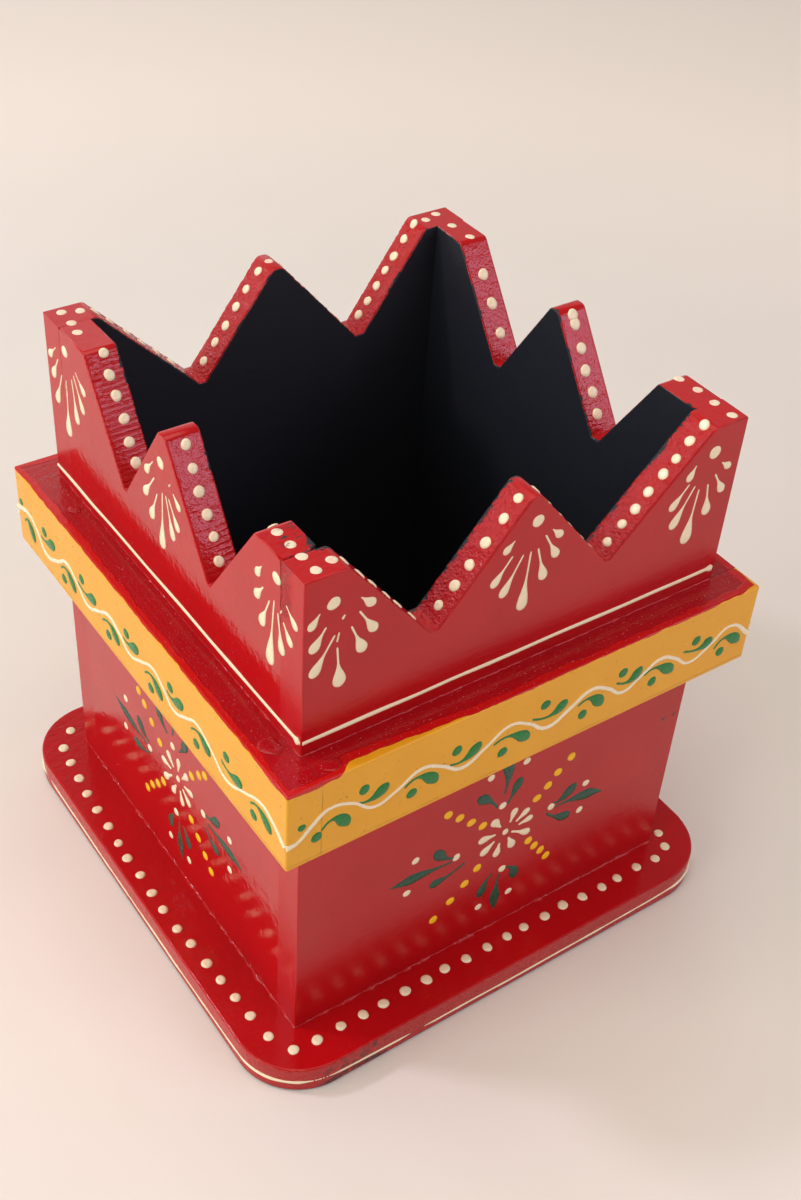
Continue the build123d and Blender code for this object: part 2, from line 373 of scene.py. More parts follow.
def band_enamel(side):
    """The band's outside in ochre yellow enamel, with a thin broken groove just above its lower
    arris, darkened with painted shade. Its top is red, with a fresher stripe where the edge was
    cut in again and ran over the arris."""
    r = Surface(f"yellow_gloss_enamel_{side}", IOR=enamel_ior)
    down = r.add(MINUS, band_top + foot_top, r.axis("Z"))
    into = r.add(SMALLER, inward(r, side), inward(r, neighbour[side]))
    wander = r.add(TIMES_PLUS, r.noise(6.5, detail=1.5), 2.3, -1.15)
    edge = r.add(PLUS, wander, overpaint(r, side))
    past_edge = r.add(MINUS, r.add(MINUS, down, into), edge)
    outside = r.add(STEP, past_edge, -0.06, 0.06)
    stripe = r.add(TIMES_PLUS, r.noise(11.0, detail=3), 2.4, past_edge)
    fresh = r.add(STEP, stripe, -2.0, -1.85)
    pits = r.add(STEP, r.noise(1.0, detail=0), 0.84, 0.88)
    from_groove = r.add(ABSOLUTE, r.add(MINUS, down, band_height - 1.8))
    broken = r.add(STEP, r.noise(12.0, detail=2), 0.4, 0.55)
    shaded_groove = r.add(TIMES, r.add(STEP, from_groove, 0.3, 0.05), broken)
    seam = seam_mask(r, side)
    body = r.cloudy(16.0, 4, "#E09D12", "#E9AB1D")
    # The groove above the lower arris is darkened here with painted shade.
    for mask, strength, dirt in ((pits, 0.6, "#7A4A14"), (shaded_groove, 0.35, "#8A5A10"), (seam, 0.25, "#6A4410")):
        body = r.stain(body, mask, strength, dirt)
    paint = r.add(MIX, outside, band_red(r, fresh, seam, side), body)
    dusty = r.add(TIMES_PLUS, r.noise(6.0, detail=4), 0.16, 0.06)
    rough = r.add(TIMES_PLUS, outside, 0.16, dusty)
    brushed = (16, 1, 1) if across[side][0] else (1, 16, 1)
    film = r.add(PLUS, fresh, r.add(TIMES, outside, -1.6))
    crumbs = r.add(STEP, r.noise(0.8, detail=1), 0.64, 0.74)
    crumbs = r.add(TIMES, crumbs, r.add(MINUS, 1.0, outside))
    layers = [(r.noise(1.1, detail=4, stretch=brushed), 0.09), (r.noise(2.8, detail=1), 0.08), (seam, -0.3),
              (film, 0.16), (r.add(TIMES, shaded_groove, outside), -0.12), (crumbs, 0.16), (pits, -0.15)]
    return r.done(paint, rough, layers)


band_paint = {side: band_enamel(side) for side in across}


def relief_paint(name, dark, light, wettest, smeared=False):
    """Thick acrylic cone paint: piped on, it dries to a smooth rounded skin with a soft shine.
    The least roughness is wettest."""
    r = Surface(name, IOR=1.44)
    body = r.cloudy(2.6, 2, dark, light)
    if smeared:
        body = r.stain(body, r.add(STEP, r.noise(2.6, detail=2), 0.5, 0.66), 0.5, "#E6A596")
        body = r.add(MIX, smear_mask(r), body, colour("#1E2027"))
    rough = r.add(TIMES_PLUS, r.noise(1.5, detail=2), 0.12, wettest)
    return r.done(body, rough, [(r.noise(1.4, detail=1), 0.04)])


cream = relief_paint("cream_cone_paint", "#ECDDB4", "#F5EAC9", 0.2)
smeared_cream = relief_paint("cream_cone_paint_smeared_black", "#E6D8B6", "#F1E6CA", 0.30, smeared=True)
green = relief_paint("leaf_green_cone_paint", "#046C2B", "#0B7F36", 0.22)
dark_green = relief_paint("dark_green_cone_paint", "#034734", "#07543F", 0.22)
yellow = relief_paint("marigold_cone_paint", "#F2B404", "#FAC80C", 0.30)


def bare_steel():
    """Drawn steel wire: grey, a little dull and faintly uneven."""
    r = Surface("drawn_steel_wire", Metallic=1.0)
    rough = r.add(TIMES_PLUS, r.noise(0.8, detail=2), 0.2, 0.3)
    return r.done(r.cloudy(1.2, 3, "#8C8C90", "#A9A9AD"), rough, [(r.noise(0.4), 0.02)])


def zinc_plate():
    """Zinc-plated steel: a pale, slightly clouded metal with a yellow-grey cast."""
    r = Surface("zinc_plated_steel", Metallic=1.0)
    rough = r.add(TIMES_PLUS, r.noise(1.1, detail=3), 0.22, 0.26)
    return r.done(r.cloudy(1.8, 4, "#A8A595", "#C9C6BA"), rough, [(r.noise(0.5), 0.02)])


wire = bare_steel()
zinc = zinc_plate()


# ---- pieces

UP = Vector((0, 1, 0))  # on a wall's face, v
THROUGH = Vector((0, 0, 1))  # and out of it


def waver(x, y, z):
    """Smooth noise from -1 to 1, whose lumps are about 1 across."""
    return noise.noise(Vector((x, y, z)))


def smooth(bm):
    for face in bm.faces:
        face.smooth = True


def push_out(bm, face, way):
    """Extrude one face along a vector."""
    made = bmesh.ops.extrude_face_region(bm, geom=[face])["geom"]
    bmesh.ops.translate(bm, verts=[item for item in made if isinstance(item, bmesh.types.BMVert)], vec=way)


def slice_mesh(bm, place, normal, **options):
    whole = bm.verts[:] + bm.edges[:] + bm.faces[:]
    bmesh.ops.bisect_plane(bm, geom=whole, plane_co=place, plane_no=normal, **options)


def make_piece(name, bm, material, node=None):
    """Finish a mesh as a named piece that rides on the box."""
    mesh = bpy.data.meshes.new(name)
    bm.to_mesh(mesh)
    bm.free()
    mesh.materials.append(material)
    piece = bpy.data.objects.new(name, mesh)
    bpy.context.scene.collection.objects.link(piece)
    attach(piece, "root")
    if node:
        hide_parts(node)


# ---- crown walls


class Notch(NamedTuple):
    """A sawn V: where it lies, the width of its floor, and its depth below the rim."""

    middle: float
    floor: float
    depth: float


class Crown(NamedTuple):
    """One wall's rim, seen from outside: the width of each tower, the notches, and the place and
    the flat width of the peak between them."""

    left_tower: float
    left_notch: Notch
    peak_middle: float
    peak_flat: float
    right_notch: Notch
    right_tower: float


crowns = {
    "front": Crown(14.3, Notch(-36.3, 3.3, 36.8), -2.4, 2.8, Notch(30.6, 1.4, 37.4), 13.6),
    "right": Crown(17.2, Notch(-28.5, 3.4, 36.4), 0.7, 4.0, Notch(27.8, 2.8, 37.2), 14.7),
    "back": Crown(17.1, Notch(-37.5, 3.4, 36.8), -1.6, 4.0, Notch(29.4, 2.6, 37.2), 14.3),
    "left": Crown(18.4, Notch(-27.4, 1.2, 38.3), 0.8, 4.2, Notch(28.2, 1.2, 39.0), 14.7),
}


def rim_points(side):
    """The ten corners of a crown, left to right."""
    crown, reach, top = crowns[side], half_length[side], wall_height

    def floor(notch):
        return [(notch.middle + way * notch.floor / 2, top - notch.depth) for way in (-1, 1)]

    peak = [(crown.peak_middle + way * crown.peak_flat / 2, top) for way in (-1, 1)]
    return [(-reach, top), (crown.left_tower - reach, top), *floor(crown.left_notch), *peak,
            *floor(crown.right_notch), (reach - crown.right_tower, top), (reach, top)]


def slopes(side):
    """The four sawn slopes of a crown, each from its top down to its notch."""
    p = [Vector(point) for point in rim_points(side)]
    return [(p[1], p[2]), (p[4], p[3]), (p[5], p[6]), (p[8], p[7])]


rim_depth = 45  # all of the crown lies within this far of the top
arris = 0.55  # how far the paint rounds a sawn arris
tower_round = 1.1  # and the corner between a flat top and its slope
saw_step = 0.32  # spacing of the rows that carry the saw marks
saw_rows_across = 24
saw_pitch = 1.9  # spacing of the coarse blade's grooves in the side walls
saw_bite = {"left": 0.26, "right": 0.14}  # their depth
# How much of each slope has them.
saw_spread = {"left": (1.35, 1.1, 0.62, 1.1), "right": (0.6, 0.5, 0.6, 0.6)}
crack_turn = 8.0  # a joint's crack is tightest this deep in the wall
crack_cuts = 16
front_crack = {"gaps": (0.8, 0.15, 1.7), "depth": 26}  # of the left wall against the front one
back_crack = {"gaps": (0.22, 0.05, 0.08), "depth": 54}


def is_rim(edge):
    return all(v.co.y > wall_height - rim_depth for v in edge.verts)


def edge_lies(edge, direction):
    way = edge.verts[1].co - edge.verts[0].co
    return abs(way.normalized().dot(direction)) > 0.999


def over_closed_joint(edge, side):
    """True for the inner edge of a full-width wall's tower top, where filler closes the joint."""
    reaches_end = any(abs(v.co.x) > half_length[side] - 0.1 for v in edge.verts)
    inner = all(v.co.z < 0.1 - wall_thickness for v in edge.verts)
    open_tower = side == "front" and edge.verts[0].co.x < 0
    return side in full_width and reaches_end and inner and not open_tower


def is_worn(edge, side):
    """True for the rim's arrises, and on a full-width wall the upright outside ones. The front
    wall's right one is still sharp."""
    if edge_lies(edge, THROUGH) or over_closed_joint(edge, side):
        return False
    if not edge_lies(edge, UP):
        return is_rim(edge)
    start = edge.verts[0].co
    return side in full_width and start.z > -1 and not (side == "front" and start.x > 0)


def round_arrises(bm, side):
    """Round the crown's corners, then wear its arrises."""
    corners = [edge for edge in bm.edges if edge_lies(edge, THROUGH) and is_rim(edge)
               and edge.is_convex and abs(edge.verts[0].co.x) < half_length[side] - 1]
    bmesh.ops.bevel(bm, geom=corners, offset=tower_round, segments=3, profile=0.5, affect="EDGES",
                    material=-1)
    worn = [edge for edge in bm.edges if is_worn(edge, side)]
    bmesh.ops.bevel(bm, geom=worn, offset=arris, segments=3, profile=0.5, affect="EDGES", material=-1,
                    clamp_overlap=True)


def saw_marks(side, cut, along, deep, length):
    """How far the sawn surface stands out, in mm, at a place on a slope. A side wall has
    short grooves straight across, most of them toward the inside and the foot."""
    seed = cut * 11.3 + len(side)
    if side in full_width:
        pebble = waver(along * 0.75, deep * 0.8, seed)
        fibre = waver(along * 0.35, deep * 1.3, seed + 5)
        return 0.26 * pebble + 0.1 * fibre
    wander = 0.35 * waver(along * 0.1, deep * 0.16, seed)
    groove = max(0.0, math.cos(math.tau * (along / saw_pitch + 0.02 * deep + wander))) ** 9
    broken = 0.7 * waver(along * 0.55, deep * 0.42, seed + 7)
    toward_outside = 0.45 * (1 - deep / wall_thickness)
    reached = saw_spread[side][cut] + broken - toward_outside - 0.75 * (1 - along / length)
    swell = 0.03 * waver(along * 0.4, deep * 0.3, seed + 3)
    return swell - saw_bite[side] * groove * min(1.0, max(0.0, 2.5 * reached))


def saw_slope(bm, side, top, bottom, cut):
    """Cut one slope into rows and raise the marks that the saw left in it."""
    way = (bottom - top).normalized()
    length = (bottom - top).length
    normal = Vector((-way.y, way.x, 0))
    if normal.y < 0:
        normal.negate()

    def height(vert):
        """How far out of the slope a corner lies."""
        return (vert.co.xy - top).dot(normal.xy)

    long_edges = [e for e in bm.edges if edge_lies(e, way.to_3d()) and e.calc_length() > length / 2
                  and all(abs(height(v)) < 1.5 for v in e.verts)]
    bmesh.ops.subdivide_edges(bm, edges=long_edges, cuts=int(length / saw_step), use_grid_fill=True)
    rungs = [e for e in bm.edges if edge_lies(e, THROUGH) and e.calc_length() > wall_thickness / 2
             and all(abs(height(v)) < 1e-3 for v in e.verts)]
    bmesh.ops.subdivide_edges(bm, edges=rungs, cuts=saw_rows_across, use_grid_fill=True)
    for vert in bm.verts:
        along = (vert.co.xy - top).dot(way)
        if -0.01 < along < length + 0.01 and -1.2 < height(vert) < 0.01:
            fade = min(1.0, max(0.0, min(along, length - along) / 2))
            vert.co += normal * saw_marks(side, cut, along, -vert.co.z, length) * fade


def open_joint(bm, reach, gaps, depth):
    """A side wall's end shrank back from its neighbour near the top. The crack closes
    below, and its gaps are given at the outside, in the middle and at the inside."""
    outer, middle, inner = gaps
    for i in range(crack_cuts):
        slice_mesh(bm, (0, wall_height - depth * (1 - i / crack_cuts), 0), UP)
    for vert in bm.verts:
        rise = (vert.co.y - wall_height + depth) / depth
        if rise <= 0 or vert.co.x * math.copysign(1, reach) <= abs(reach) - 0.1:
            continue
        torn = waver(reach, vert.co.y * 0.45, 0) + 0.6 * waver(reach, vert.co.y * 1.3, 5)
        rise = rise ** 0.6 * max(0.3, 1 + 0.8 * torn * min(1.0, 4 * (1 - rise)))
        deep = -vert.co.z / crack_turn
        if deep < 1:
            gap = outer + (middle - outer) * deep
        else:
            gap = middle + (inner - middle) * (deep - 1) / (wall_thickness / crack_turn - 1)
        vert.co.x -= math.copysign(gap * rise, reach)


def make_wall(side):
    """A crowned board: its outline pushed through by its thickness, worn, sawn and cracked."""
    reach = half_length[side]
    bm = bmesh.new()
    corners = [(-reach, 0), *rim_points(side), (reach, 0)]
    outline = bm.faces.new([bm.verts.new((u, v, 0)) for u, v in corners])
    push_out(bm, outline, (0, 0, -wall_thickness))
    bmesh.ops.recalc_face_normals(bm, faces=bm.faces)
    round_arrises(bm, side)
    for cut, (top, bottom) in enumerate(slopes(side)):
        saw_slope(bm, side, top, bottom, cut)
    if side == "left":
        slice_mesh(bm, (0, 0, -crack_turn), THROUGH)
        open_joint(bm, reach, **front_crack)
        open_joint(bm, -reach, **back_crack)
    bm.normal_update()
    for face in bm.faces:
        face.smooth = face.calc_area() < 20 and abs(face.normal.z) < 0.9999
    bm.transform(face_plane(side, box_half[side]))
    make_piece(f"painted_{side}_wall", bm, wall_paint[side], f"{side}_wall")


# ---- cone-paint shapes


def half_ball(around, rings, lying):
    """The upper half of a ball of radius 1, closed below. Lying, its poles are its two ends."""
    bm = bmesh.new()
    bmesh.ops.create_uvsphere(bm, u_segments=around, v_segments=rings, radius=1)
    if lying:
        bmesh.ops.rotate(bm, verts=bm.verts, matrix=Matrix.Rotation(math.pi / 2, 3, "Y"))
    slice_mesh(bm, (0, 0, 0), (0, 0, 1), dist=1e-4, clear_inner=True)
    bmesh.ops.contextual_create(bm, geom=[e for e in bm.edges if e.is_boundary])
    smooth(bm)
    mesh = bpy.data.meshes.new("half_ball")
    bm.to_mesh(mesh)
    bm.free()
    return mesh


dot_form = half_ball(16, 8, lying=False)
drop_form = half_ball(8, 18, lying=True)
hand = random.Random(5)  # the painter's unsteady hand
sunk = 0.12  # how deep the foot of a raised shape lies in the paint below


def copy_form(bm, form):
    first = len(bm.verts)
    bm.from_mesh(form)
    bm.verts.ensure_lookup_table()
    return bm.verts[first:]


def polar(vert):
    """How far a corner lies from the middle, and in what direction."""
    return math.hypot(vert.co.x, vert.co.y), math.atan2(vert.co.y, vert.co.x)


def dot(bm, plane, u, v, radius, height=0.5):
    """A piped dot: a low cushion, never quite round, with a dimple where the cone left it."""
    verts = copy_form(bm, dot_form)
    turn = hand.uniform(0, math.tau)
    oval = hand.uniform(0.0, 0.07)
    lump = hand.uniform(0.0, 0.035)
    lifted = Vector((hand.uniform(-0.2, 0.2), hand.uniform(-0.2, 0.2)))
    for vert in verts:
        spread, angle = polar(vert)
        wide = radius * (1 + oval * math.cos(2 * (angle - turn)) + lump * math.cos(3 * angle + 2 * turn)
                         + 0.6 * lump * math.cos(5 * angle - turn))
        rise = height * (1 - spread ** 3.2) ** 0.6 if spread < 1 else 0
        dimple = 0.3 * height * math.exp(-((vert.co.xy - lifted).length * 3.0) ** 2)
        lift = rise - dimple if vert.co.z > 0.01 else 0
        vert.co = Vector((vert.co.x * wide + u, vert.co.y * wide + v, lift - sunk))
    bmesh.ops.transform(bm, matrix=plane, verts=verts)


def drop_width(q, radius, length, tail):
    """Half the width of a drop at a share q of its length: a round head that runs out thin."""
    s = q * length
    if s < radius:
        return math.sqrt(max(0.0, radius ** 2 - (radius - s) ** 2))
    run = (s - radius) / max(length - radius, 1e-6)
    neck = min(0.95, max(0.55, 3.4 * radius / length))
    width = tail + (radius - tail) * (0.5 + 0.5 * math.cos(math.pi * min(1.0, run / neck) ** 0.9))
    return width * math.sqrt(max(0.0, 1 - max(0.0, (run - 0.92) / 0.08) ** 2))


def blade_width(q, radius, length, tail):
    """Half the width of a blade: a thin stalk that swells to a belly, then runs out to a point."""
    belly = 0.66
    if q > belly:
        return radius * (1 - (q - belly) / (1 - belly)) ** 1.1
    swell = 0.5 - 0.5 * math.cos(math.pi * max(0.0, q - 0.12) / (belly - 0.12))
    return (tail + (radius - tail) * swell) * min(1.0, q / 0.03)


def stroke(bm, plane, points, radius, height=0.5, tail=0.42, width=drop_width):
    """One touch of the cone from its head to its tail, through a middle point if there is one."""
    head, end = Vector(points[0]), Vector(points[-1])
    middle = Vector(points[1]) if len(points) == 3 else (head + end) / 2
    bend = 2 * middle - (head + end) / 2
    length = (middle - head).length + (end - middle).length
    for vert in copy_form(bm, drop_form):
        ring = math.sqrt(max(0.0, 1 - vert.co.x ** 2))
        side_share = vert.co.y / ring if ring > 1e-4 else 0.0
        lift_share = vert.co.z / ring if ring > 1e-4 else 0.0
        q = (1 - vert.co.x) / 2
        centre = head * (1 - q) ** 2 + bend * 2 * q * (1 - q) + end * q ** 2
        way = ((bend - head) * (1 - q) + (end - bend) * q).normalized()
        half = width(q, radius, length, tail)
        lift = height * lift_share * min(1.0, half / radius) ** 0.35 if half > 0 else 0
        at = centre + Vector((-way.y, way.x)) * side_share * half
        vert.co = plane @ Vector((at.x, at.y, lift - sunk))


def tip(head, tail, radius):
    """The outermost point of a drop whose head is a circle of that radius."""
    head, tail = Vector(head), Vector(tail)
    return head + (head - tail).normalized() * radius


def dots(bm, plane, places, radius):
    for u, v in places:
        dot(bm, plane, u, v, radius)


def drops(bm, plane, touches, height=0.5, tail=0.42):
    """Drops given as head, tail and head radius."""
    for head, end, radius in touches:
        stroke(bm, plane, (tip(head, end, radius), end), radius, height, tail)


def bead(name, path, half_width, plane):
    """A soft round bead along a path of (x, y, z, share of its width)."""
    curve = bpy.data.curves.new(name, "CURVE")
    curve.dimensions = "3D"
    curve.bevel_depth = half_width
    curve.bevel_resolution = 2
    curve.resolution_u = 5
    curve.use_fill_caps = True
    spline = curve.splines.new("BEZIER")
    spline.bezier_points.add(len(path) - 1)
    for point, (x, y, z, share) in zip(spline.bezier_points, path):
        point.co = (x, y, z)
        point.radius = share
        point.handle_left_type = point.handle_right_type = "AUTO"
    drawn = bpy.data.objects.new(name, curve)
    bpy.context.scene.collection.objects.link(drawn)
    bpy.context.view_layer.update()
    mesh = bpy.data.meshes.new_from_object(drawn)
    bpy.data.objects.remove(drawn)
    mesh.transform(plane)
    return mesh


def line(name, path, half_width, plane, height=0.55):
    """A drawn line on a face: a low bead along a path of (u, v, share of its width)."""
    flatten = Matrix.Diagonal((1, 1, height / half_width, 1))
    return bead(name, [(u, v, 0, share) for u, v, share in path], half_width,
                plane @ Matrix.Translation((0, 0, -sunk)) @ flatten)


# ---- crown's fans


class Fan(NamedTuple):
    """A fan below a peak: a dot, two side dabs and five drops that hang from one point."""

    seed: tuple
    dabs: tuple
    drops: tuple


front_fans = (
    Fan((-72.4, 189.4, 2.3),
        (((-79.3, 184), (-76.8, 187.6), 1.7), ((-59.9, 184.6), (-63.4, 187.8), 1.9)),
        (((-78.4, 175.7), (-74.6, 181.8), 2.1), ((-78.1, 166.4), (-71.6, 177.6), 2.2),
         ((-69.6, 159.4), (-70.7, 172.6), 2.6), ((-62.3, 168.9), (-66.2, 178.4), 2.2),
         ((-58.7, 174.8), (-63.7, 182.9), 2.0))),
    Fan((-1.1, 190.6, 2.3),
        (((-11.8, 183.7), (-9.2, 186.4), 1.7), ((8.2, 182.2), (5.2, 185.1), 1.7)),
        (((-15.1, 172.6), (-9.3, 180.7), 1.9), ((-11.2, 167.3), (-5.1, 179.6), 2.0),
         ((-3.2, 159.4), (-2.3, 179.8), 2.4), ((3.8, 168.1), (0.4, 179.8), 2.0),
         ((7.7, 175), (2.7, 183.9), 1.8))),
    Fan((70, 190.6, 2.5),
        (((60.8, 184.2), (62.7, 188.1), 1.8), ((77.3, 183.1), (74.3, 185.3), 1.6)),
        (((55.8, 174.6), (61.3, 181.4), 2.0), ((57.7, 167), (64.1, 179.8), 2.3),
         ((64.7, 158.9), (66.2, 177.8), 2.7), ((71.6, 167.6), (69.9, 178.4), 2.2),
         ((76.6, 174.4), (72.4, 181.4), 1.8))),
)

left_fans = (
    Fan((-66.9, 192.8, 2.2),
        (((-79, 185.9), (-74, 190.7), 1.7), ((-54.2, 184.2), (-59.8, 188.9), 1.7)),
        (((-77.6, 179), (-73.1, 186.7), 2.0), ((-76.2, 169.8), (-70.9, 181.8), 2.1),
         ((-69, 160.9), (-67.9, 178), 2.6), ((-61.2, 169.8), (-63.2, 184.4), 2.1),
         ((-56, 176.4), (-61.4, 186.8), 1.8))),
    Fan((-0.4, 189, 2.2),
        (((-10.1, 180.9), (-5.6, 186.4), 1.8), ((10.4, 179.2), (7.1, 182.2), 1.6)),
        (((-11.8, 171.4), (-5.1, 180.6), 1.9), ((-8.1, 164.8), (-3.7, 175.3), 2.1),
         ((-1.6, 157.6), (-0.1, 178.1), 2.4), ((5.7, 165.3), (2.1, 178.3), 2.0),
         ((9.1, 170.6), (4, 178.3), 1.8))),
    Fan((68, 192, 2.2),
        (((57.7, 187.2), (59.9, 190.7), 1.7), ((77.9, 182), (73.2, 186.1), 1.7)),
        (((57.3, 178.9), (60.8, 183.7), 1.9), ((60.1, 170.9), (64.3, 181.4), 2.1),
         ((64.6, 160), (66.8, 183.4), 2.6), ((71, 168.1), (68.8, 180.1), 2.1),
         ((75.4, 174.2), (71.8, 178.9), 1.8))),
)
fans = {"front": front_fans, "left": left_fans, "back": front_fans, "right": left_fans}

front_flecks = (((-69.2, 182.8), (-68.6, 183.8), 0.45), ((-70.9, 175), (-70.3, 178), 0.32))
left_flecks = (((-67.8, 178.4), (-67.4, 181.6), 0.4), ((5.0, 183.8), (5.8, 184.8), 0.4),
               ((70.6, 181.6), (71.0, 182.6), 0.4))
flecks = {"front": front_flecks, "left": left_flecks, "back": front_flecks, "right": left_flecks}


def make_fans(side):
    bm = bmesh.new()
    plane = face_plane(side, box_half[side])
    drops(bm, plane, flecks[side], tail=0.3)
    for fan in fans[side]:
        u, v, radius = fan.seed
        dot(bm, plane, u, v, radius, height=0.55)
        drops(bm, plane, fan.dabs, tail=0.3)
        drops(bm, plane, fan.drops)
    make_piece(f"{side}_fans", bm, cream)


# ---- flower below the band


class Flower(NamedTuple):
    """A nine-petalled flower with four leaf sprays, and rays of dots between them."""

    heart: tuple
    petals: tuple
    buds: tuple
    leaves: tuple
    blades: tuple
    pips: tuple
    rays: tuple


front_flower = Flower(
    heart=(4, 51.2),
    petals=(((-1.5, 59), (1.5, 55), 2.1), ((7, 60), (5.6, 55.2), 1.8), ((12.5, 57), (8.3, 54), 1.8),
            ((14.5, 52.3), (9.8, 51.6), 1.7), ((14, 45.5), (6.8, 49.7), 1.9),
            ((7.8, 42.5), (5.8, 47.3), 2.0), ((1.2, 41.5), (2, 46.5), 1.9),
            ((-4.5, 45.7), (-0.5, 48.9), 2.2), ((-6, 52.6), (-0.4, 52.2), 2.1)),
    buds=((1, 66.4), (-17.3, 50.5), (5, 30.8), (24.5, 52.6)),
    leaves=(((-9, 75), (-4.8, 71.6), (-1.2, 66.5), 2.3), ((7, 75), (5.3, 70.5), (3, 66), 2.2),
            ((-25.5, 57.5), (-22.6, 53.3), (-18, 51), 2.3), ((-26, 42), (-20.5, 42.4), (-13, 45.4), 2.1),
            ((-3.5, 22.5), (-2.4, 27), (0.6, 31), 2.2), ((11, 24), (10.2, 27.6), (6.8, 30.5), 2.3),
            ((33, 57.5), (29.6, 54.4), (24.3, 54.1), 2.6), ((32.5, 43.5), (27.4, 45.8), (22.6, 50.2), 2.3)),
    blades=(((1, 72), (1.8, 83), (-0.6, 93), 2.8), ((-18.6, 49.2), (-33, 50.4), (-46, 51.2), 2.7),
            ((4, 29), (3.2, 18), (4.2, 8), 2.6), ((26, 51.2), (38.5, 50.4), (50, 46.8), 2.8)),
    pips=((-6, 84), (9.3, 84), (-35.2, 59.6), (-37.8, 44.3), (-4, 15), (9.8, 15.2), (40, 56.3), (39.2, 42.6)),
    rays=((-23, 75.4), (-17.8, 70.9), (-12.4, 65.5), (-7, 60.7), (30.3, 75), (25, 70.1), (21.2, 65.4),
          (16.8, 61.3), (15.9, 39.5), (19.2, 34.8), (22.7, 30.3), (26, 25.3), (-7, 38.5), (-12, 33),
          (-17.8, 27.2), (-24.7, 21.3)),
)

left_flower = Flower(
    heart=(1, 51.8),
    petals=(((-5.5, 58.5), (-2, 55), 1.8), ((2, 61), (1.4, 56), 1.7), ((7.5, 58.5), (4.2, 54.6), 1.8),
            ((10.5, 52.5), (5.5, 52), 1.7), ((8.5, 46), (4.2, 49.4), 1.8), ((3.5, 42), (2.3, 46.8), 1.8),
            ((-3, 42.5), (-0.8, 47), 1.8), ((-8.5, 45), (-3.6, 49.6), 1.9), ((-9.5, 52.5), (-4, 52.5), 1.8)),
    buds=((-2.1, 65.7), (-21, 48.4), (-1.8, 31.8), (19.5, 50.7)),
    leaves=(((-12, 75), (-9.5, 71.6), (-5.6, 69.2), 2.2), ((7.5, 74.5), (5.6, 70.6), (2.4, 67), 2.2),
            ((-28.5, 56.2), (-25.4, 52.8), (-21.4, 51.4), 2.2), ((-32, 42.7), (-27, 43), (-21, 46.2), 2.2),
            ((-6.5, 21.8), (-6, 25), (-3.8, 28), 2.1), ((6.9, 22.3), (5.8, 25.6), (2.8, 28.6), 2.1),
            ((29.3, 55.7), (25.8, 53), (21, 51.8), 2.3), ((28.2, 40.1), (25, 41.4), (20, 45), 2.2)),
    blades=(((-1.8, 71), (-1.2, 82), (-3, 92), 2.7), ((-22.6, 48.8), (-36, 50), (-49, 53), 2.4),
            ((0.4, 28.6), (0.2, 18), (1.6, 8.4), 2.4), ((21.6, 48.2), (35, 48.3), (48, 47.4), 2.5)),
    pips=((-8, 84), (5, 84), (-39.3, 58.7), (-40.9, 43.1), (-7.3, 13.8), (6.9, 13.4), (38.2, 54.8),
          (37.9, 39.2)),
    rays=((-12.3, 58.8), (-18, 64.3), (-23.2, 69.1), (-27.5, 72.3), (11.7, 62.9), (17.2, 68.1), (21.5, 71.8),
          (10, 38.8), (14.9, 33.7), (19.9, 28.8), (24.1, 24.2), (-11.1, 39.6), (-15.8, 34.3), (-20.7, 29.3),
          (-25.1, 23.7)),
)
flowers = {"front": front_flower, "left": left_flower, "back": front_flower, "right": left_flower}
stray_marks = (((74.0, 70.9), (75.4, 72.0), 0.55), ((79.3, 71.0), (79.9, 72.4), 0.5))  # on the front


def make_flower(side):
    flower, plane = flowers[side], face_plane(side, box_half[side])
    white = bmesh.new()
    dot(white, plane, *flower.heart, 1.5)
    drops(white, plane, flower.petals, tail=0.6)
    dots(white, plane, flower.buds, 1.75)
    for u, v in flower.pips:
        dot(white, plane, u, v, 1.65, height=0.45)
    make_piece(f"{side}_flower_petals", white, cream)
    leaf = bmesh.new()
    for head, middle, end, radius in flower.leaves:
        stroke(leaf, plane, (tip(head, middle, radius), middle, end), radius + 0.3, height=0.45, tail=0.65)
    for root, middle, end, radius in flower.blades:
        stroke(leaf, plane, (root, middle, end), radius + 0.2, height=0.45, tail=0.6, width=blade_width)
    if side == "front":
        drops(leaf, plane, stray_marks, height=0.3, tail=0.25)
    make_piece(f"{side}_flower_leaves", leaf, dark_green)
    ray = bmesh.new()
    dots(ray, plane, flower.rays, 1.95)
    make_piece(f"{side}_flower_rays", ray, yellow)


# ---- vine on the band

front_vine = ((-94, 112.7), (-90.5, 113.2), (-85, 118.2), (-79.5, 121.9), (-71, 119.6), (-63, 113.5),
              (-55, 116), (-46, 120.8), (-38, 117.6), (-30, 112.6), (-21, 117), (-12, 122), (-4, 118.6),
              (4, 113), (13, 117), (21.5, 121.3), (29, 118), (36, 113), (44, 117), (51.5, 120.8),
              (59, 117.4), (66, 112.3), (75, 116.4), (83, 121.3), (94, 113))
left_vine = ((-94, 117), (-84, 119.3), (-78, 116), (-71.6, 109.9), (-62, 113), (-53.2, 118.2), (-46, 115),
             (-38.2, 110.2), (-29, 114), (-20.4, 118.2), (-13, 116), (-6, 112.1), (3, 115.6), (11.2, 119.1),
             (18, 116), (24.6, 111.6), (33, 115), (40.1, 118.6), (49, 115.4), (58.4, 110.1), (70, 114.6),
             (81.2, 119.1), (88, 116.6), (93.6, 112.6))
